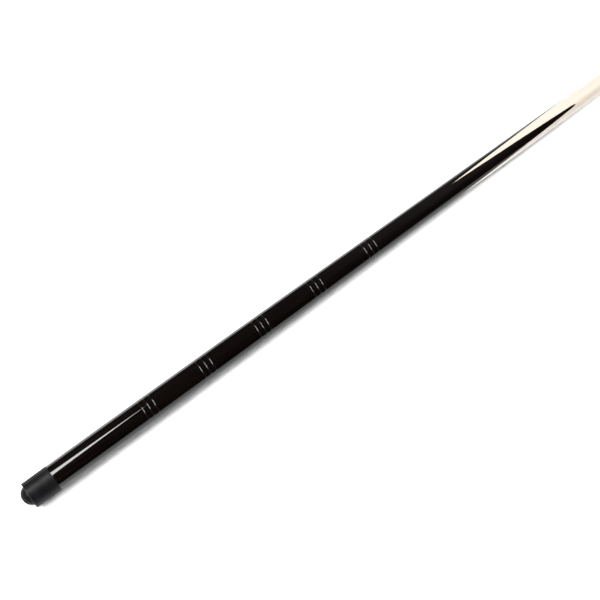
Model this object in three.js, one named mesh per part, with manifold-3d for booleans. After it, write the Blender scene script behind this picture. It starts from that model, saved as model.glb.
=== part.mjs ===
// A one-piece pool cue with a full splice, lying along +X.
//
// The origin is the small flat at the very end of the rubber bumper, on the cue's axis.
// +X runs from the butt to the leather tip, +Z is up, and all lengths are millimetres.

import * as THREE from 'three';
import * as BufferGeometryUtils from 'three/addons/utils/BufferGeometryUtils.js';
import Module from 'manifold-3d';

const wasm = await Module();
wasm.setup();

// ---------------------------------------------------------------- driving dimensions

const CUE_LENGTH = 1448;          // a 57 inch cue, from bumper to leather tip
const GLUE_GAP = 0.3;             // clearance between two glued or touching pieces

// Outside diameter of the timber at even stations, from the butt end to the tip.
const STATION_PITCH = 120;
const STATION_DIAMETERS = [30.5, 30.8, 30.0, 28.5, 26.2, 24.0, 22.3, 20.8, 19.2, 17.6, 16.0, 14.3, 12.6];

const DOME_HEIGHT = 8;            // the domed nose of the bumper
const DOME_CURVE = 11.8;          // radius of its ball
const DOME_FLAT = 2.5;            // radius of the flat that the cue stands on
const SKIRT_LENGTH = 31.4;        // the sleeve of the bumper around the butt
const RIM_RADIUS = 15.3;          // the sleeve swells a little from its rim to its mouth
const SLEEVE_RADIUS = 15.5;       // where the lip starts
const LIP_RADIUS = 15.75;         // the raised lip at the sleeve's mouth
const LIP_LENGTH = 2.4;
const RIM_BEVEL = 0.4;
const SKIRT_WALL = 3;
const BUMPER_FLOOR = 3.4;         // rubber between the rim's plane and the timber's end

const RING_GROUPS = 5;            // scribed decorative rings on the handle
const RINGS_PER_GROUP = 3;
const FIRST_GROUP = 164.4;        // the middle ring of the group next to the bumper
const GROUP_PITCH = 76.2;         // 3 inches
const RING_PITCH = 7;
const GROOVE_WIDTH = 0.8;
const GROOVE_DEPTH = 0.35;

const MAPLE_POINT = 592;          // where the four maple points start, on the surface
const BLACK_POINT = 773;          // where the four black points end, with round noses
const WEDGES_MEET = 791;          // where the splice's flat faces would have met
const POINT_TURN = 9.5;           // degrees that a maple point leans from straight up
const TONGUE_BLUNT = 6;           // the tongue's knife edges start this much later
const POINT_BLUNT = 2;            // and the black noses are cut square this much sooner

const BOLT_RADIUS = 6.35;         // a half-inch steel weight bolt
const BOLT_LENGTH = 64;
const BOLT_SETBACK = 12;          // how deep the bolt sits behind the timber's end
const BOLT_CHAMFER = 1;
const SOCKET_RADIUS = 3.67;       // quarter-inch hexagon, across its corners
const SOCKET_DEPTH = 8;

const LEATHER_LENGTH = 8;
const LEATHER_RADIUS = 6.4;
const LEATHER_CROWN = 10.6;       // radius of the tip's crown, a nickel's
const PAD_LENGTH = 1;
const FERRULE_LENGTH = 25;
const FERRULE_RADIUS = 6.5;
const FERRULE_CAP = 5;            // solid end of the ferrule, under the pad
const TENON_RADIUS = 4.3;
const EDGE_BEVEL = 0.3;

const ROUND_SEGMENTS = 32;        // a multiple of eight puts a corner on each black point
const SMALL_SEGMENTS = 24;
const SURFACE_STEP = 60;          // longest straight stretch along the timber

// ---------------------------------------------------------------- derived places

const rimX = DOME_HEIGHT;
const lipX = rimX + SKIRT_LENGTH;
const buttFaceX = rimX + BUMPER_FLOOR + GLUE_GAP;
const shoulderX = lipX + GLUE_GAP;
const cavityRadius = RIM_RADIUS - SKIRT_WALL;
const spigotRadius = cavityRadius - GLUE_GAP;

const pointX = BLACK_POINT - POINT_BLUNT;

const boltX = buttFaceX + BOLT_SETBACK;
const boreEndX = boltX + BOLT_LENGTH + GLUE_GAP;
const boreRadius = BOLT_RADIUS + GLUE_GAP;

const leatherX = CUE_LENGTH - LEATHER_LENGTH;
const padX = leatherX - GLUE_GAP - PAD_LENGTH;
const ferruleX = padX - GLUE_GAP - FERRULE_LENGTH;
const shaftEndX = ferruleX - GLUE_GAP;
const ferruleBoreX = ferruleX + FERRULE_LENGTH - FERRULE_CAP;

const stationXs = STATION_DIAMETERS.map((_, i) => i * STATION_PITCH);
const diameterCurve = new THREE.CubicInterpolant(stationXs, STATION_DIAMETERS, 1);

function timberRadius(x) {
  return diameterCurve.evaluate(x)[0] / 2;
}

// ---------------------------------------------------------------- shape helpers

// A solid of revolution about the X axis. The outline is a list of [x, radius].
function turned(outline, segments = ROUND_SEGMENTS) {
  const points = outline.map(([x, radius]) => new THREE.Vector2(radius, x));
  return new THREE.LatheGeometry(points, segments).rotateZ(-Math.PI / 2);
}

// Outline points on the timber's surface from one place to another, both included.
function surfaceOutline(fromX, toX) {
  const steps = Math.max(1, Math.ceil((toX - fromX) / SURFACE_STEP));
  return Array.from({ length: steps + 1 }, (_, i) => {
    const x = THREE.MathUtils.lerp(fromX, toX, i / steps);
    return [x, timberRadius(x)];
  });
}

function closedBody(geometry) {
  const bare = geometry.clone();
  bare.deleteAttribute('normal');
  bare.deleteAttribute('uv');
  const merged = BufferGeometryUtils.mergeVertices(bare, 1e-5);
  return new wasm.Manifold(new wasm.Mesh({
    numProp: 3,
    vertProperties: merged.attributes.position.array,
    triVerts: merged.index.array,
  }));
}

function geometryOf(body) {
  const { vertProperties, triVerts } = body.getMesh();
  const geometry = new THREE.BufferGeometry();
  geometry.setAttribute('position', new THREE.BufferAttribute(vertProperties, 3));
  geometry.setIndex(new THREE.BufferAttribute(triVerts, 1));
  geometry.computeVertexNormals();
  return geometry;
}

function piece(name, geometry, color, roughness, metalness = 0) {
  const material = new THREE.MeshStandardMaterial({ color, roughness, metalness });
  const mesh = new THREE.Mesh(geometry, material);
  mesh.name = name;
  return mesh;
}

// ---------------------------------------------------------------- the splice

// The tongue of the full splice: two long wedges crossed at right angles. They start as
// knife edges at the maple points, and the black points between them narrow towards the
// place where the wedges' half width reaches the surface at 45 degrees.
function crossedWedges(shift) {
  const slope = timberRadius(WEDGES_MEET) * Math.SQRT1_2 / (WEDGES_MEET - MAPLE_POINT);
  const apexX = MAPLE_POINT + shift / slope;
  const reach = slope * (CUE_LENGTH - apexX);
  const wedge = new THREE.ExtrudeGeometry(
    new THREE.Shape([
      new THREE.Vector2(apexX, 0),
      new THREE.Vector2(CUE_LENGTH, -reach),
      new THREE.Vector2(CUE_LENGTH, reach),
    ]),
    { depth: 2 * reach, bevelEnabled: false },
  ).translate(0, 0, -reach);
  const upright = closedBody(wedge);
  const level = closedBody(wedge.clone().rotateX(Math.PI / 2));
  return upright.add(level);
}

// ---------------------------------------------------------------- butt end

// The rubber bumper is one moulding: a domed nose on a sleeve that slips over the butt.
function makeBumper() {
  const ballX = Math.sqrt(DOME_CURVE ** 2 - DOME_FLAT ** 2);
  const flatAngle = Math.asin(DOME_FLAT / DOME_CURVE);
  const rimAngle = Math.acos((ballX - DOME_HEIGHT) / DOME_CURVE);
  const domeSteps = 7;
  const dome = Array.from({ length: domeSteps + 1 }, (_, i) => {
    const angle = THREE.MathUtils.lerp(flatAngle, rimAngle, i / domeSteps);
    return [ballX - DOME_CURVE * Math.cos(angle), DOME_CURVE * Math.sin(angle)];
  });
  return turned([
    [0, 0],
    ...dome,
    [rimX, RIM_RADIUS - RIM_BEVEL],
    [rimX + RIM_BEVEL, RIM_RADIUS],
    [lipX - LIP_LENGTH, SLEEVE_RADIUS],
    [lipX - LIP_LENGTH / 2, LIP_RADIUS],
    [lipX - RIM_BEVEL, LIP_RADIUS],
    [lipX, LIP_RADIUS - RIM_BEVEL],
    [lipX, cavityRadius],
    [rimX + BUMPER_FLOOR, cavityRadius],
    [rimX + BUMPER_FLOOR, 0],
  ]);
}

function makeWeightBolt() {
  const endX = boltX + BOLT_LENGTH;
  const shank = closedBody(turned([
    [boltX, 0],
    [boltX, BOLT_RADIUS - BOLT_CHAMFER],
    [boltX + BOLT_CHAMFER, BOLT_RADIUS],
    [endX - BOLT_CHAMFER, BOLT_RADIUS],
    [endX, BOLT_RADIUS - BOLT_CHAMFER],
    [endX, 0],
  ], SMALL_SEGMENTS));
  const hexagonSides = 6;
  const socket = new THREE.CylinderGeometry(SOCKET_RADIUS, SOCKET_RADIUS, 2 * SOCKET_DEPTH, hexagonSides)
    .rotateZ(-Math.PI / 2)
    .translate(boltX, 0, 0);
  return geometryOf(shank.subtract(closedBody(socket)));
}

// ---------------------------------------------------------------- timber

// The places of the scribed rings, in groups of three along the handle.
function ringPlaces() {
  const places = [];
  for (let group = 0; group < RING_GROUPS; group += 1) {
    for (let ring = 0; ring < RINGS_PER_GROUP; ring += 1) {
      const fromMiddle = ring - (RINGS_PER_GROUP - 1) / 2;
      places.push(FIRST_GROUP + group * GROUP_PITCH + fromMiddle * RING_PITCH);
    }
  }
  return places;
}

// The timber's surface with a V groove for each ring.
function scribedOutline(fromX, toX) {
  const outline = [];
  let plainFromX = fromX;
  for (const x of ringPlaces()) {
    outline.push(...surfaceOutline(plainFromX, x - GROOVE_WIDTH / 2));
    outline.push([x, timberRadius(x) - GROOVE_DEPTH]);
    plainFromX = x + GROOVE_WIDTH / 2;
  }
  return [...outline, ...surfaceOutline(plainFromX, toX)];
}

// The black butt: a turned down spigot inside the bumper, the bore for the weight bolt,
// the scribed rings and the four long points.
function makeButt() {
  const blank = closedBody(turned([
    [boreEndX, 0],
    [boreEndX, boreRadius],
    [buttFaceX, boreRadius],
    [buttFaceX, spigotRadius],
    [shoulderX, spigotRadius],
    ...scribedOutline(shoulderX, pointX),
    [pointX, 0],
  ]));
  return geometryOf(blank.subtract(crossedWedges(-GLUE_GAP / 2)));
}

// The maple shaft: the crossed tongue, the tapered shaft and the ferrule's tenon. Past the
// black points it is whole.
function makeShaft() {
  const tongueX = MAPLE_POINT + TONGUE_BLUNT;
  const wholeX = pointX + GLUE_GAP;
  const tenonEndX = ferruleBoreX - GLUE_GAP;
  const blank = closedBody(turned([
    [tongueX, 0],
    ...surfaceOutline(tongueX, shaftEndX),
    [shaftEndX, TENON_RADIUS],
    [tenonEndX, TENON_RADIUS],
    [tenonEndX, 0],
  ]));
  const whole = closedBody(turned([
    [wholeX, 0],
    [wholeX, STATION_DIAMETERS[0]],
    [CUE_LENGTH, STATION_DIAMETERS[0]],
    [CUE_LENGTH, 0],
  ]));
  return geometryOf(blank.intersect(crossedWedges(GLUE_GAP / 2).add(whole)));
}

// ---------------------------------------------------------------- tip end

// A capped white ferrule over the shaft's tenon.
function makeFerrule() {
  const endX = ferruleX + FERRULE_LENGTH;
  return turned([
    [ferruleBoreX, 0],
    [ferruleBoreX, TENON_RADIUS + GLUE_GAP],
    [ferruleX, TENON_RADIUS + GLUE_GAP],
    [ferruleX, FERRULE_RADIUS],
    [endX, FERRULE_RADIUS],
    [endX, 0],
  ]);
}

// The thin fibre pad between the ferrule and the leather.
function makePad() {
  return turned([
    [padX, 0],
    [padX, FERRULE_RADIUS],
    [padX + PAD_LENGTH, FERRULE_RADIUS],
    [padX + PAD_LENGTH, 0],
  ]);
}

// The leather tip, with a crowned striking face.
function makeLeatherTip() {
  const crownSteps = 5;
  const edgeAngle = Math.asin(LEATHER_RADIUS / LEATHER_CROWN);
  const crown = Array.from({ length: crownSteps }, (_, i) => {
    const angle = edgeAngle * (1 - i / crownSteps);
    return [CUE_LENGTH - LEATHER_CROWN * (1 - Math.cos(angle)), LEATHER_CROWN * Math.sin(angle)];
  });
  return turned([
    [leatherX, 0],
    [leatherX, LEATHER_RADIUS - EDGE_BEVEL],
    [leatherX + EDGE_BEVEL, LEATHER_RADIUS],
    ...crown,
    [CUE_LENGTH, 0],
  ]);
}

// ---------------------------------------------------------------- the assembly

const cue = new THREE.Group();
cue.rotation.x = -THREE.MathUtils.degToRad(POINT_TURN);
cue.add(
  piece('bumper', makeBumper(), 0x2e2e30, 0.62),
  piece('weight_bolt', makeWeightBolt(), 0x8d9094, 0.35, 1),
  piece('butt', makeButt(), 0x090706, 0.08),
  piece('shaft', makeShaft(), 0xf0dfbe, 0.25),
  piece('ferrule', makeFerrule(), 0xf2f0e8, 0.2),
  piece('tip_pad', makePad(), 0x7d1f1a, 0.6),
  piece('leather_tip', makeLeatherTip(), 0x3d5c86, 0.9),
);

export default cue;
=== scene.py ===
"""A one-piece pool cue lying on a pale studio floor.

The cue lies along +X with its butt at the origin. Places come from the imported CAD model:
the timber's outline and the scribed rings are read off the CAD solids, and every piece but
the hidden weight bolt is rebuilt around them with a fine surface. All lengths are metres.
"""

import math

import bmesh
import bpy
import numpy as np
from mathutils import Matrix, Vector


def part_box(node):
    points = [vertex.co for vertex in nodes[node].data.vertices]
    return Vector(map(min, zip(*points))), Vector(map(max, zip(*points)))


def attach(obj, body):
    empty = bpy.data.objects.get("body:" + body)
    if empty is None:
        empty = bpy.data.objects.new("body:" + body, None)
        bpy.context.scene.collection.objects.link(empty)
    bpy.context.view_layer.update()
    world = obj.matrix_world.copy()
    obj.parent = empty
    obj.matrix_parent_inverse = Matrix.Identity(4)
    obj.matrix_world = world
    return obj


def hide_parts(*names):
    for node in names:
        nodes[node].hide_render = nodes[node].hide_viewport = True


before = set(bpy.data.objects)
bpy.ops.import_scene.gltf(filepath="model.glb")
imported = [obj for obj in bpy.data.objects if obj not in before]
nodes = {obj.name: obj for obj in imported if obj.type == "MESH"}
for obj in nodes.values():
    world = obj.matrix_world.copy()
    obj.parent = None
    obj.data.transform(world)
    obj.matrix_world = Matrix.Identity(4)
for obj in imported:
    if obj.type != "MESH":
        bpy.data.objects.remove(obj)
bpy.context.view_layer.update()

# ------------------------------------------------------------------ named values

POINT_TURN = math.radians(9.5)    # how far a maple point leans from straight up
TONGUE_BLUNT = 0.006              # how much further the maple points run than the CAD's blunt ones
POINT_BLUNT = 0.002               # the same for the black points
WEDGES_PAST = 0.018               # the splice's flat faces would meet this far past the black points,
NOSE_LENGTH = 0.008               # but each black point ends in a round nose of this length

COLUMNS = 40                      # mesh columns in a quarter turn of the timber
ROUND_COLUMNS = 160               # mesh columns around every other piece
PLAIN_STEP = 0.012                # the longest mesh step along plain timber
SPLICE_STATIONS = 73              # mesh stations along the splice, up to the noses
NOSE_STATIONS = 10                # and along the noses
SHARP_ANGLE = math.radians(32)    # edges sharper than this are shaded sharp

LINE_WIDTH = 0.00002              # how far off a line of vertices one of them may lie
LINE_START = 0.002                # the line leaves out vertices nearer to the axis than this
SKIN_STEP = 0.0005                # the timber's skin stands at least this proud of its spigots
OUTLINE_DEGREE = 9                # of the polynomial through the timber's outline

GROOVE_HALF_WIDTH = 0.00043
GROOVE_SLOPE = 0.42               # how steep the sides of a scribed ring are
GROOVE_ROUNDING = 0.12            # how far its bottom is rounded, as a share of its half width
GROOVE_STEPS = 10
GROOVE_REACH = 1.3                # how far from its middle the plain timber stops, in half widths

BUMPER_RIM_X = 0.008              # where the domed nose meets the rim
DOME_CURVE = 0.0118               # radius of the dome
DOME_FLAT = 0.0025                # radius of the flat at its end
RIM_RADIUS = 0.0153
SLEEVE_RADIUS = 0.0155
SLEEVE_WALL = 0.003
BUMPER_FLOOR = 0.0034             # rubber between the rim and the butt's end
LIP_LENGTH = 0.0024
FILLET = 0.0004

TENON_CLEARANCE = 0.0001
CROWN_CURVE = 0.0106              # radius of the leather tip's crown
TIP_SWELL = 0.0001                # how far the leather bulges below its crown

FLOOR_HALF = 20                   # half the floor's width
FLOOR_REST = 0.9                  # the share of the cue that may touch it besides the ferrule
GLOW_MIDDLE = (0.7, 0, 0)         # it doesn't glow around this point under the cue,
GLOW_START = 0.8                  # starts to glow this far from it
GLOW_FULL = 1.9                   # and glows fully from here on


# ------------------------------------------------------------------ reading the CAD model

def corner_line(name):
    """The (x, radius) of a node's vertices that lie straight out along one maple point."""
    up = np.array([0, math.sin(POINT_TURN), math.cos(POINT_TURN)])
    side = np.cross([1, 0, 0], up)
    places = np.array([vertex.co for vertex in nodes[name].data.vertices], float)
    on_line = (np.abs(places @ side) < LINE_WIDTH) & (places @ up > LINE_START)
    found = zip(places[on_line, 0], (places @ up)[on_line])
    pairs = {(round(x, 6), round(radius, 6)) for x, radius in found}
    return np.array(sorted(pairs))


class Timber:
    """The outline of the butt and shaft, as the CAD solids have it."""

    def __init__(self):
        butt, shaft = corner_line("butt"), corner_line("shaft")
        bumper_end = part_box("bumper")[1].x
        self.face_x = butt[0, 0]
        self.spigot_radius = butt[butt[:, 0] < bumper_end, 1].max()
        self.bore_radius = butt[butt[:, 0] < bumper_end, 1].min()
        self.bore_end_x = butt[butt[:, 1] <= self.bore_radius, 0].max()
        self.shoulder_x = bumper_end
        self.tenon_end_x, self.tenon_radius = shaft[-1]
        butt_skin = butt[butt[:, 1] > self.spigot_radius + SKIN_STEP]
        shaft_skin = shaft[shaft[:, 1] > self.tenon_radius + SKIN_STEP]
        self.shaft_end_x = shaft_skin[-1, 0]
        self.maple_x = shaft_skin[0, 0] - TONGUE_BLUNT
        self.black_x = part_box("butt")[1].x + POINT_BLUNT

        radii = butt_skin[:, 1]
        least_dip = GROOVE_SLOPE * GROOVE_HALF_WIDTH / 2
        dips = np.zeros(len(radii), bool)
        dips[1:-1] = radii[1:-1] < (radii[:-2] + radii[2:]) / 2 - least_dip
        self.ring_xs = butt_skin[dips, 0]
        skin = np.concatenate([butt_skin[~dips], shaft_skin])
        self.curve = np.polynomial.Chebyshev.fit(skin[:, 0], skin[:, 1], OUTLINE_DEGREE)

    def radius(self, x):
        return float(self.curve(x))

    def wedge(self, x):
        """Half the width of the splice's crossed wedges."""
        meet_x = self.black_x + WEDGES_PAST
        full = self.radius(meet_x) * math.sqrt(0.5)
        return full * (x - self.maple_x) / (meet_x - self.maple_x)

    def nose(self, x):
        """What is left of a black point's size as its nose rounds off, from 1 to 0."""
        share = max(0, 1 - (self.black_x - x) / NOSE_LENGTH)
        return math.sqrt(max(0, 1 - share ** 2))

    def wedge_angle(self, x):
        """How far around the surface a maple wedge reaches from its own middle."""
        eighth = math.pi / 4
        return eighth - self.nose(x) * (eighth - math.asin(self.wedge(x) / self.radius(x)))

    def corner_radius(self, x):
        """How deep the valley between two wedges is, as a distance from the axis."""
        return self.radius(x) - self.nose(x) * (self.radius(x) - self.wedge(x) * math.sqrt(2))


# ------------------------------------------------------------------ mesh building

def around(x, radius, angle):
    """A point of the cue. The angle runs about +X from the maple point nearest the top."""
    turned = angle - POINT_TURN
    return (x, -radius * math.sin(turned), radius * math.cos(turned))


class Skin:
    """A mesh built up from rows of points around the cue's axis."""

    def __init__(self):
        self.points = []
        self.faces = []

    def row(self, x, radius, angles):
        first = len(self.points)
        self.points += [around(x, radius, angle) for angle in angles]
        return list(range(first, len(self.points)))

    def point(self, x, radius=0, angle=0):
        return self.row(x, radius, [angle])[0]

    def bridge(self, first, second):
        """Faces between two open rows. A row of one point makes a fan."""
        for i in range(max(len(first), len(second)) - 1):
            corners = [
                first[min(i, len(first) - 1)],
                first[min(i + 1, len(first) - 1)],
                second[min(i + 1, len(second) - 1)],
                second[min(i, len(second) - 1)],
            ]
            self.faces.append(list(dict.fromkeys(corners)))

    def rings(self, outline, angles):
        """Closed rings along an outline of (x, radius). Radius 0 makes a pole."""
        rows = []
        for x, radius in outline:
            row = [self.point(x)] if radius == 0 else self.row(x, radius, angles)
            rows.append(row)
        for first, second in zip(rows, rows[1:]):
            self.join_rings(first, second)
        return rows

    def join_rings(self, first, second):
        self.bridge(first + first[:1], second + second[:1])

    def build(self, name, replaced):
        mesh = bpy.data.meshes.new(name)
        mesh.from_pydata(self.points, [], self.faces)
        made = bmesh.new()
        made.from_mesh(mesh)
        bmesh.ops.recalc_face_normals(made, faces=made.faces)
        made.to_mesh(mesh)
        made.free()
        mesh.shade_smooth()
        mesh.set_sharp_from_angle(angle=SHARP_ANGLE)
        piece = bpy.data.objects.new(name, mesh)
        bpy.context.scene.collection.objects.link(piece)
        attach(piece, "root")
        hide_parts(replaced)
        return piece


def turn_angles(columns):
    """The angles of a closed ring's columns."""
    return [2 * math.pi * i / columns for i in range(columns)]


def arc(centre_x, centre_radius, curve, start, end, steps):
    """Outline points on a circular arc. Angles are from -X, towards growing radius."""
    return [
        (centre_x - curve * math.cos(angle), centre_radius + curve * math.sin(angle))
        for angle in np.radians(np.linspace(start, end, steps + 1))
    ]


def plain_stations(from_x, to_x):
    """Mesh stations along plain timber, with both of its ends."""
    steps = max(1, math.ceil((to_x - from_x) / PLAIN_STEP))
    return list(np.linspace(from_x, to_x, steps + 1))


# ------------------------------------------------------------------ the timber

def groove_outline(timber, x):
    """A scribed groove with straight sides and a rounded bottom, as the lacquer leaves it."""
    places = []
    for offset in np.linspace(-GROOVE_HALF_WIDTH, GROOVE_HALF_WIDTH, GROOVE_STEPS + 1):
        away = math.hypot(offset / GROOVE_HALF_WIDTH, GROOVE_ROUNDING)
        depth = GROOVE_SLOPE * GROOVE_HALF_WIDTH * (math.hypot(1, GROOVE_ROUNDING) - away)
        places.append((x + offset, timber.radius(x + offset) - depth))
    return places


def handle_outline(timber, from_x):
    """The black butt's surface up to the splice, with its scribed rings."""
    outline = []
    reach = GROOVE_REACH * GROOVE_HALF_WIDTH
    plain_x = from_x
    for x in timber.ring_xs:
        before = plain_stations(plain_x, x - reach)
        outline += [(place, timber.radius(place)) for place in before]
        outline += groove_outline(timber, x)
        plain_x = x + reach
    last = plain_stations(plain_x, timber.maple_x)
    return outline + [(place, timber.radius(place)) for place in last]


def splice_xs(timber):
    """Mesh stations from the maple points to the black ones, closer along the round noses."""
    nose_x = timber.black_x - NOSE_LENGTH
    turns = np.linspace(0, math.pi / 2, NOSE_STATIONS + 1)[1:]
    nose = [nose_x + NOSE_LENGTH * math.sin(turn) for turn in turns]
    return list(np.linspace(timber.maple_x, nose_x, SPLICE_STATIONS)) + nose


def make_butt(timber):
    """The black butt: spigot and bore inside the bumper, grip, and four long points."""
    skin = Skin()
    angles = turn_angles(4 * COLUMNS)
    shoulder_radius = timber.radius(timber.shoulder_x)
    inside = [
        (timber.bore_end_x, 0),
        (timber.bore_end_x, timber.bore_radius),
        (timber.face_x + FILLET, timber.bore_radius),
        (timber.face_x, timber.bore_radius + FILLET),
        (timber.face_x, timber.spigot_radius - FILLET),
        (timber.face_x + FILLET, timber.spigot_radius),
        (timber.shoulder_x, timber.spigot_radius),
    ]
    edge = arc(timber.shoulder_x + FILLET, shoulder_radius - FILLET, FILLET, 0, 90, 4)
    grip = handle_outline(timber, timber.shoulder_x + 2 * FILLET)
    last_ring = skin.rings(inside + edge + grip, angles)[-1]

    middle = skin.point(timber.maple_x)
    stations = splice_xs(timber)
    for quarter in range(4):
        start = quarter * math.pi / 2
        ring = last_ring + last_ring[:1]
        row = ring[quarter * COLUMNS:(quarter + 1) * COLUMNS + 1]
        corner = middle
        for x in stations[1:-1]:
            reach = timber.wedge_angle(x)
            spread = np.linspace(start + reach, start + math.pi / 2 - reach, COLUMNS + 1)
            next_row = skin.row(x, timber.radius(x), spread)
            next_corner = skin.point(x, timber.corner_radius(x), start + math.pi / 4)
            skin.bridge(row, next_row)
            skin.bridge([corner, row[0]], [next_corner, next_row[0]])
            skin.bridge([row[-1], corner], [next_row[-1], next_corner])
            row, corner = next_row, next_corner
        tip = skin.point(timber.black_x, timber.radius(timber.black_x), start + math.pi / 4)
        skin.bridge(row, [tip])
        skin.faces += [[corner, row[0], tip], [row[-1], corner, tip]]
    return skin.build("butt_lacquered", "butt")


def make_shaft(timber):
    """The maple: four points of the crossed tongue, the shaft and its tenon."""
    skin = Skin()
    middle = skin.point(timber.maple_x)
    stations = splice_xs(timber)
    eighth = math.pi / 4
    corners = [(2 * quarter + 1) * eighth for quarter in range(4)]
    corner_rows = [[middle] * 4]
    for x in stations[1:-1]:
        depth = timber.corner_radius(x)
        corner_rows.append([skin.point(x, depth, corner) for corner in corners])
    end_radius = timber.radius(timber.black_x)
    corner_rows.append([skin.point(timber.black_x, end_radius, corner) for corner in corners])

    first_ring = []
    for strip in range(4):
        centre = 2 * strip * eighth
        row = [skin.point(timber.maple_x, timber.radius(timber.maple_x), centre)]
        for index, x in enumerate(stations[1:], 1):
            before, now = corner_rows[index - 1], corner_rows[index]
            reach = timber.wedge_angle(x)
            spread = np.linspace(centre - reach, centre + reach, COLUMNS + 1)
            if index < len(stations) - 1:
                next_row = skin.row(x, timber.radius(x), spread)
                skin.bridge([row[-1], before[strip]], [next_row[-1], now[strip]])
                skin.bridge([before[strip - 1], row[0]], [now[strip - 1], next_row[0]])
            else:
                between = skin.row(x, timber.radius(x), spread[1:-1])
                next_row = [now[strip - 1], *between, now[strip]]
                skin.faces += [[row[-1], before[strip], now[strip]],
                               [before[strip - 1], row[0], now[strip - 1]]]
            skin.bridge(row, next_row)
            row = next_row
        first_ring += row[:-1]

    angles = [angle - eighth for angle in turn_angles(4 * COLUMNS)]
    shoulder_radius = timber.radius(timber.shaft_end_x)
    plain = plain_stations(timber.black_x, timber.shaft_end_x)[1:-1]
    outline = [(x, timber.radius(x)) for x in plain]
    outline += [
        (timber.shaft_end_x - FILLET / 2, shoulder_radius),
        (timber.shaft_end_x, shoulder_radius - FILLET / 2),
        (timber.shaft_end_x, timber.tenon_radius),
        (timber.tenon_end_x, timber.tenon_radius),
        (timber.tenon_end_x, 0),
    ]
    rows = skin.rings(outline, angles)
    skin.join_rings(first_ring, rows[0])
    return skin.build("shaft_maple", "shaft")


# ------------------------------------------------------------------ the bumper

def make_bumper():
    """One rubber moulding: a domed nose on a sleeve with a raised lip at its mouth."""
    end_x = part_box("bumper")[1].x
    lip_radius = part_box("bumper")[1].z
    ball_x = math.sqrt(DOME_CURVE ** 2 - DOME_FLAT ** 2)
    flat_angle = math.degrees(math.asin(DOME_FLAT / DOME_CURVE))
    rim_angle = math.degrees(math.acos((ball_x - BUMPER_RIM_X) / DOME_CURVE))
    cavity_radius = RIM_RADIUS - SLEEVE_WALL
    outline = [(0, 0)]
    outline += arc(ball_x, 0, DOME_CURVE, flat_angle, rim_angle, 24)
    outline += arc(BUMPER_RIM_X + FILLET, RIM_RADIUS - FILLET, FILLET, 0, 90, 4)
    outline.append((end_x - LIP_LENGTH, SLEEVE_RADIUS))
    for share in np.linspace(0.15, 0.85, 6):
        rise = (lip_radius - SLEEVE_RADIUS) * math.sin(share * math.pi / 2)
        outline.append((end_x - LIP_LENGTH + share * (LIP_LENGTH - FILLET), SLEEVE_RADIUS + rise))
    outline += arc(end_x - FILLET, lip_radius - FILLET, FILLET, 90, 180, 4)
    outline += [
        (end_x, cavity_radius),
        (BUMPER_RIM_X + BUMPER_FLOOR, cavity_radius),
        (BUMPER_RIM_X + BUMPER_FLOOR, 0),
    ]
    skin = Skin()
    skin.rings(outline, turn_angles(ROUND_COLUMNS))
    return skin.build("bumper_rubber", "bumper")


# ------------------------------------------------------------------ the tip end

def make_round(name, replaced, outline):
    """A turned piece from its outline of (x, radius)."""
    skin = Skin()
    skin.rings(outline, turn_angles(ROUND_COLUMNS))
    return skin.build(name, replaced)


def make_ferrule(timber):
    """A cap over the shaft's tenon, with its edges just broken."""
    low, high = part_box("ferrule")
    radius = high.z
    bore_radius = timber.tenon_radius + TENON_CLEARANCE
    bevel = FILLET / 2
    return make_round("ferrule_plastic", "ferrule", [
        (timber.tenon_end_x + TENON_CLEARANCE, 0),
        (timber.tenon_end_x + TENON_CLEARANCE, bore_radius),
        (low.x, bore_radius),
        (low.x, radius - bevel / 2),
        *arc(low.x + bevel, radius - bevel, bevel, 30, 90, 3),
        *arc(high.x - bevel, radius - bevel, bevel, 90, 180, 4),
        (high.x, 0),
    ])


def make_pad():
    """The thin disc between the ferrule and the leather."""
    low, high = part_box("tip_pad")
    radius = high.z
    bevel = FILLET / 3
    return make_round("tip_pad_fibre", "tip_pad", [
        (low.x, 0),
        *arc(low.x + bevel, radius - bevel, bevel, 0, 90, 3),
        *arc(high.x - bevel, radius - bevel, bevel, 90, 180, 3),
        (high.x, 0),
    ])


def make_leather():
    """The crowned tip, very slightly swollen by play just below its crown."""
    low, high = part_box("leather_tip")
    radius = high.z
    side_radius = radius - TIP_SWELL
    edge_angle = math.degrees(math.asin(side_radius / CROWN_CURVE))
    crown_edge_x = high.x - CROWN_CURVE * (1 - math.cos(math.radians(edge_angle)))
    side = []
    for share in np.linspace(0, 1, 9):
        x = low.x + FILLET / 2 + share * (crown_edge_x - low.x - FILLET)
        swell = (radius - side_radius) * math.sin(share * math.pi)
        side.append((x, side_radius + swell))
    crown = arc(high.x - CROWN_CURVE, 0, CROWN_CURVE, 180 - edge_angle, 180, 14)
    return make_round("tip_leather", "leather_tip", [
        (low.x, 0),
        (low.x, side_radius - FILLET / 2),
        *side,
        *crown[:-1],
        (high.x, 0),
    ])


# ------------------------------------------------------------------ node helpers

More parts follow.
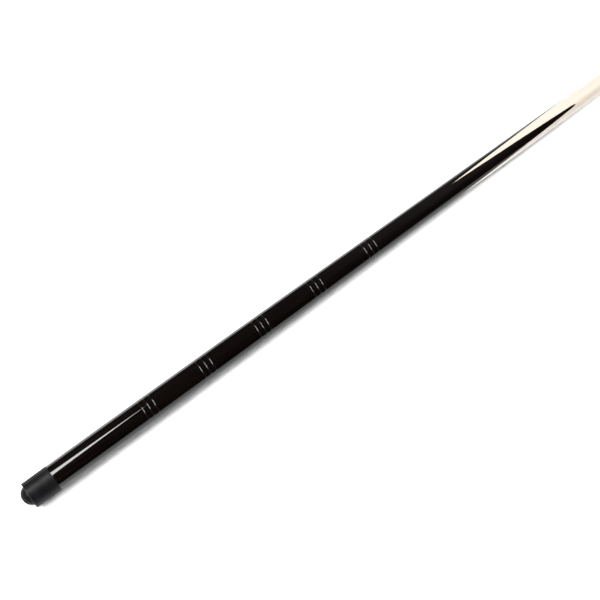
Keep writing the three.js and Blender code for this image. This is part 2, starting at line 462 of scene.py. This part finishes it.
class Nodes:
    """Adds nodes to a material's or a world's node tree. An input is a plain value or a socket."""

    def __init__(self, tree):
        self.tree = tree

    def node(self, kind, inputs=(), **settings):
        made = self.tree.nodes.new(kind)
        for name, value in settings.items():
            setattr(made, name, value)
        for name, value in dict(inputs).items():
            self.feed(value, made.inputs[name])
        return made

    def feed(self, value, socket):
        if isinstance(value, bpy.types.NodeSocket):
            self.tree.links.new(value, socket)
        else:
            socket.default_value = value

    def spread(self, value, low, high, to_low=0.0, to_high=1.0):
        """A value's range from low to high, stretched smoothly over a new range."""
        made = self.node("ShaderNodeMapRange", {
            "Value": value, "From Min": low, "From Max": high, "To Min": to_low, "To Max": to_high,
        }, interpolation_type="SMOOTHSTEP")
        return made.outputs["Result"]

    def math(self, operation, first, second):
        made = self.node("ShaderNodeMath", operation=operation)
        self.feed(first, made.inputs[0])
        self.feed(second, made.inputs[1])
        return made.outputs["Value"]

    def position(self, coordinates):
        place = self.node("ShaderNodeTexCoord")
        return self.node("ShaderNodeSeparateXYZ", {"Vector": place.outputs[coordinates]}).outputs


class Finish(Nodes):
    """A node material around one Principled shader."""

    def __init__(self, name):
        self.material = bpy.data.materials.new(name)
        self.material.use_nodes = True
        super().__init__(self.material.node_tree)
        self.shader = self.tree.nodes["Principled BSDF"]

    def constants(self, **values):
        for name, value in values.items():
            self.shader.inputs[name.replace("_", " ")].default_value = value

    def noise(self, scale, detail, roughness=0.5, distortion=0.0):
        """Noise whose grains are 1/scale metres long in each direction."""
        place = self.node("ShaderNodeTexCoord")
        spread = self.node("ShaderNodeMapping", {"Vector": place.outputs["Object"], "Scale": scale})
        made = self.node("ShaderNodeTexNoise", {
            "Vector": spread.outputs["Vector"],
            "Scale": 1.0,
            "Detail": detail,
            "Roughness": roughness,
            "Distortion": distortion,
        })
        return made.outputs["Fac"]

    def mix(self, share, first, second):
        """A blend of two colours. A Mix node has sockets for every kind of data, so the ones for
        colours are taken by their place."""
        made = self.node("ShaderNodeMix", data_type="RGBA")
        self.feed(share, made.inputs["Factor"])
        self.feed(first, made.inputs[6])
        self.feed(second, made.inputs[7])
        return made.outputs[2]

    def bump(self, height, distance, strength, coat=False):
        made = self.node("ShaderNodeBump", {"Height": height, "Strength": strength, "Distance": distance})
        self.feed(made.outputs["Normal"], self.shader.inputs["Coat Normal" if coat else "Normal"])

    def colour(self, value):
        self.feed(value, self.shader.inputs["Base Color"])

    def roughness(self, value):
        self.feed(value, self.shader.inputs["Roughness"])

    def onto(self, piece):
        piece.data.materials.clear()
        piece.data.materials.append(self.material)


# ------------------------------------------------------------------ the materials

def lacquer_finish():
    """Black stained hardwood under clear gloss lacquer."""
    finish = Finish("black_lacquer")
    black = (0.0012, 0.0008, 0.0007, 1)
    fibre = (0.0042, 0.0028, 0.0022, 1)
    fibres = finish.noise((9, 900, 900), 4)
    finish.colour(finish.mix(finish.spread(fibres, 0.45, 0.8), black, fibre))
    finish.roughness(finish.spread(finish.noise((30, 120, 120), 3), 0.3, 0.7, 0.3, 0.45))
    finish.bump(fibres, 0.00002, 0.3)
    finish.bump(finish.noise((55, 55, 55), 1), 0.00001, 0.25, coat=True)
    finish.constants(Specular_IOR_Level=0.0, Coat_Weight=1.0, Coat_Roughness=0.02, Coat_IOR=1.4)
    return finish


def maple_finish():
    """Pale maple: faint growth bands, long fibres and short dark flecks."""
    finish = Finish("maple")
    early_wood = (0.415, 0.373, 0.325, 1)
    late_wood = (0.385, 0.335, 0.275, 1)
    fibre = (0.365, 0.305, 0.23, 1)
    fleck = (0.42, 0.28, 0.16, 1)
    bands = finish.noise((1.6, 95, 95), 3, 0.55, 0.4)
    fibres = finish.noise((14, 1300, 1300), 4, 0.6)
    flecks = finish.noise((110, 2600, 2600), 2)
    wood = finish.mix(finish.spread(bands, 0.3, 0.72), early_wood, late_wood)
    wood = finish.mix(finish.spread(fibres, 0.35, 0.75, 0.0, 0.35), wood, fibre)
    wood = finish.mix(finish.spread(flecks, 0.7, 0.82, 0.0, 0.5), wood, fleck)
    finish.colour(wood)
    finish.roughness(finish.spread(fibres, 0.3, 0.7, 0.32, 0.42))
    finish.bump(fibres, 0.00003, 0.3)
    finish.bump(finish.noise((55, 55, 55), 1), 0.00001, 0.25, coat=True)
    finish.constants(Specular_IOR_Level=0.5, Coat_Weight=0.8, Coat_Roughness=0.06, Coat_IOR=1.5)
    return finish


def rubber_finish():
    """Charcoal moulded rubber, with a mottled painted highlight on the face of its rim and a darker dome.
    """
    finish = Finish("bumper_rubber")
    dark = (0.0028, 0.0026, 0.0030, 1)
    light = (0.0044, 0.0041, 0.0047, 1)
    # pale colour for the face of the rim: a painted highlight where the rim's edge catches the light
    painted_rim_highlight = (0.017, 0.016, 0.015, 1)
    dome = (0.0018, 0.0018, 0.0015, 1)
    grain = finish.noise((2600, 2600, 2600), 2)
    clouds = finish.noise((120, 120, 120), 4)
    x = finish.position("Object")["X"]
    on_dome = finish.spread(x, BUMPER_RIM_X - 0.0012, BUMPER_RIM_X - 0.0003, 1.0, 0.0)
    up_to_rim = finish.spread(x, BUMPER_RIM_X + 0.0004, BUMPER_RIM_X + 0.0009, 1.0, 0.0)
    patches = finish.spread(finish.noise((500, 500, 500), 4), 0.35, 0.65, 0.3, 1.0)
    rubber = finish.mix(finish.spread(clouds, 0.3, 0.7), dark, light)
    # the face of the rim is painted paler in patches: a painted highlight
    rubber = finish.mix(finish.math("MULTIPLY", up_to_rim, patches), rubber, painted_rim_highlight)
    finish.colour(finish.mix(on_dome, rubber, dome))
    finish.roughness(finish.spread(clouds, 0.3, 0.7, 0.36, 0.5))
    finish.bump(finish.math("ADD", grain, finish.math("MULTIPLY", clouds, 4.0)), 0.00003, 0.8)
    finish.constants(Specular_IOR_Level=0.08)
    return finish


def ferrule_finish():
    """Polished off-white plastic with blue chalk rubbed in near the tip."""
    finish = Finish("ferrule_plastic")
    plastic = (0.47, 0.46, 0.425, 1)
    chalk = (0.22, 0.31, 0.41, 1)
    x = finish.position("Object")["X"]
    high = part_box("ferrule")[1].x
    near_tip = finish.spread(x, high - 0.012, high)
    smears = finish.spread(finish.noise((220, 500, 500), 4), 0.42, 0.7)
    stain = finish.math("MULTIPLY", finish.math("MULTIPLY", near_tip, smears), 0.55)
    finish.colour(finish.mix(stain, plastic, chalk))
    turning = finish.noise((9000, 40, 40), 2)
    finish.roughness(finish.spread(turning, 0.3, 0.7, 0.16, 0.26))
    finish.bump(turning, 0.00001, 0.4)
    finish.constants(Specular_IOR_Level=0.5)
    return finish


def fibre_finish():
    """Red vulcanised fibre, laid up in thin sheets."""
    finish = Finish("pad_fibre")
    dark = (0.26, 0.025, 0.018, 1)
    light = (0.38, 0.06, 0.04, 1)
    sheets = finish.noise((9000, 60, 60), 2)
    finish.colour(finish.mix(sheets, dark, light))
    finish.roughness(finish.spread(sheets, 0.3, 0.7, 0.5, 0.65))
    finish.bump(sheets, 0.00004, 0.5)
    return finish


def leather_finish():
    """Burnished leather sides, and a rough crown loaded with blue chalk."""
    finish = Finish("tip_leather")
    dark_hide = (0.06, 0.03, 0.016, 1)
    light_hide = (0.14, 0.075, 0.035, 1)
    thin_chalk = (0.02, 0.075, 0.18, 1)
    thick_chalk = (0.07, 0.17, 0.31, 1)
    x = finish.position("Object")["X"]
    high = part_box("leather_tip")[1]
    waver = finish.math("MULTIPLY", finish.noise((300, 700, 700), 3), 0.0012)
    crown = finish.spread(finish.math("ADD", x, waver), high.x - 0.0026, high.x - 0.0012)
    fibres = finish.noise((1500, 2600, 2600), 5, 0.65)
    layers = finish.noise((2600, 150, 150), 2)
    hide = finish.mix(layers, dark_hide, light_hide)
    chalk = finish.mix(finish.spread(fibres, 0.35, 0.7), thin_chalk, thick_chalk)
    finish.colour(finish.mix(crown, hide, chalk))
    finish.roughness(finish.spread(crown, 0.0, 1.0, 0.42, 0.95))
    finish.bump(fibres, 0.00012, 0.8)
    finish.constants(Specular_IOR_Level=0.3)
    return finish


def steel_finish():
    """Plain zinc plated steel, turned."""
    finish = Finish("bolt_steel")
    dark = (0.42, 0.43, 0.44, 1)
    light = (0.56, 0.57, 0.58, 1)
    turning = finish.noise((6000, 60, 60), 2)
    finish.colour(finish.mix(turning, dark, light))
    finish.roughness(finish.spread(turning, 0.3, 0.7, 0.28, 0.42))
    finish.bump(turning, 0.00002, 0.5)
    finish.constants(Metallic=1.0)
    return finish


def floor_finish():
    """Matt white paper, which glows away from the cue so that it stays pale out to the horizon."""
    finish = Finish("studio_floor")
    dark = (0.86, 0.86, 0.86, 1)
    light = (0.88, 0.88, 0.88, 1)
    tone = finish.noise((1.5, 1.5, 1.5), 3)
    finish.colour(finish.mix(tone, dark, light))
    finish.roughness(finish.spread(tone, 0.3, 0.7, 0.9, 0.95))
    finish.constants(Specular_IOR_Level=0.1, Emission_Color=(1, 1, 1, 1))
    place = finish.node("ShaderNodeTexCoord").outputs["Object"]
    away = finish.node("ShaderNodeVectorMath", operation="DISTANCE")
    finish.feed(place, away.inputs[0])
    finish.feed(GLOW_MIDDLE, away.inputs[1])
    glow = finish.spread(away.outputs["Value"], GLOW_START, GLOW_FULL)
    finish.feed(glow, finish.shader.inputs["Emission Strength"])
    return finish


# ------------------------------------------------------------------ the studio

def floor_line():
    """The edge of the ferrule that rests on the floor, and the floor's slope from there to the
    thick end of the cue, which rests on it too."""
    places = []
    for node in nodes.values():
        places += [(vertex.co.x, vertex.co.z) for vertex in node.data.vertices]
    places = np.array(places)
    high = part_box("ferrule")[1]
    pivot_x, pivot_z = high.x, -high.z
    thick = places[places[:, 0] < FLOOR_REST * pivot_x]
    slope = ((pivot_z - thick[:, 1]) / (pivot_x - thick[:, 0])).max()
    return pivot_x, pivot_z, slope


def make_floor():
    """One large sheet that slopes a little, because the cue's own axis is level."""
    pivot_x, pivot_z, slope = floor_line()
    corners = []
    for x_side, y_side in ((-1, -1), (1, -1), (1, 1), (-1, 1)):
        x = x_side * FLOOR_HALF
        corners.append((x, y_side * FLOOR_HALF, pivot_z + slope * (x - pivot_x)))
    mesh = bpy.data.meshes.new("floor")
    mesh.from_pydata(corners, [], [(0, 1, 2, 3)])
    floor = bpy.data.objects.new("floor", mesh)
    bpy.context.scene.collection.objects.link(floor)
    floor_finish().onto(floor)


def softbox(name, shape, place, aim, size, power, turn=0, spread=math.pi):
    """A soft light. Its size is along the cue and then across it, before its own turn."""
    data = bpy.data.lights.new(name, "AREA")
    data.shape = shape
    data.size, data.size_y = size
    data.energy = power
    data.spread = spread
    light = bpy.data.objects.new(name, data)
    back = (Vector(place) - Vector(aim)).normalized()
    across = back.cross(Vector((1, 0, 0))).normalized()
    along = across.cross(back)
    axes = Matrix((along, across, back)).transposed().to_4x4()
    light.matrix_world = Matrix.Translation(place) @ axes @ Matrix.Rotation(turn, 4, "Z")
    light.visible_camera = False
    bpy.context.scene.collection.objects.link(light)


def make_lights():
    """A square key light that stands on its corner, and a round fill beyond each end of the cue."""
    softbox("key", "RECTANGLE", place=(-0.105, 0.487, 1.5), aim=(1.03, 0, 0), size=(0.79, 0.79),
            power=44, turn=math.pi / 4)
    softbox("butt_fill", "ELLIPSE", place=(-0.9, 0.20, 1.35), aim=(0.1, 0, 0), size=(0.7, 1.25), power=38)
    softbox("tip_fill", "ELLIPSE", place=(2.6, -0.38, 1.4), aim=(0.85, 0, 0), size=(1.2, 1.2), power=9,
            spread=math.radians(50))


def make_world():
    """A studio that lights the cue dimly from above and brightly past its tip, and that looks white
    behind the floor."""
    world = bpy.data.worlds.new("studio")
    world.use_nodes = True
    studio = Nodes(world.node_tree)
    way = studio.position("Generated")
    towards_tip = studio.spread(way["X"], 0.2, 0.38, 0.05, 0.25)
    towards_left = studio.spread(way["Y"], -0.7, 0.1, 0.1, 1)
    past_tip = studio.spread(way["X"], 0.5, 0.7, 0, 0.8)
    ceiling = studio.math("MULTIPLY", towards_tip, towards_left)
    glow = studio.math("ADD", ceiling, past_tip)
    seen = studio.node("ShaderNodeLightPath").outputs["Is Camera Ray"]
    backdrop = world.node_tree.nodes["Background"]
    studio.feed((1, 1, 1, 1), backdrop.inputs["Color"])
    studio.feed(studio.math("MAXIMUM", glow, seen), backdrop.inputs["Strength"])
    bpy.context.scene.world = world


def make_camera():
    """Looks down on the grip from beyond the butt, with the cue running to the upper right."""
    aim = Vector((0.37104, -0.00007, 0))
    distance = 1.62918
    elevation = math.radians(67.375)
    azimuth = math.radians(34.346)
    roll = math.radians(-3.612)
    view = Vector((math.cos(elevation) * math.sin(azimuth),
                   math.cos(elevation) * math.cos(azimuth),
                   -math.sin(elevation)))
    level = Vector((math.cos(azimuth), -math.sin(azimuth), 0))
    upright = level.cross(view)
    right = level * math.cos(roll) + upright * math.sin(roll)
    up = right.cross(view)
    data = bpy.data.cameras.new("camera")
    data.sensor_width = 36
    data.lens = 87.8
    data.clip_end = 100
    camera = bpy.data.objects.new("camera", data)
    turn = Matrix((right, up, -view)).transposed()
    camera.matrix_world = Matrix.Translation(aim - view * distance) @ turn.to_4x4()
    bpy.context.scene.collection.objects.link(camera)
    bpy.context.scene.camera = camera


# ------------------------------------------------------------------ the scene

timber = Timber()
lacquer_finish().onto(make_butt(timber))
maple_finish().onto(make_shaft(timber))
rubber_finish().onto(make_bumper())
ferrule_finish().onto(make_ferrule(timber))
fibre_finish().onto(make_pad())
leather_finish().onto(make_leather())
steel_finish().onto(nodes["weight_bolt"])

make_floor()
make_world()
make_camera()
make_lights()

bpy.context.scene.view_settings.view_transform = "Standard"
bpy.context.scene.view_settings.look = "None"
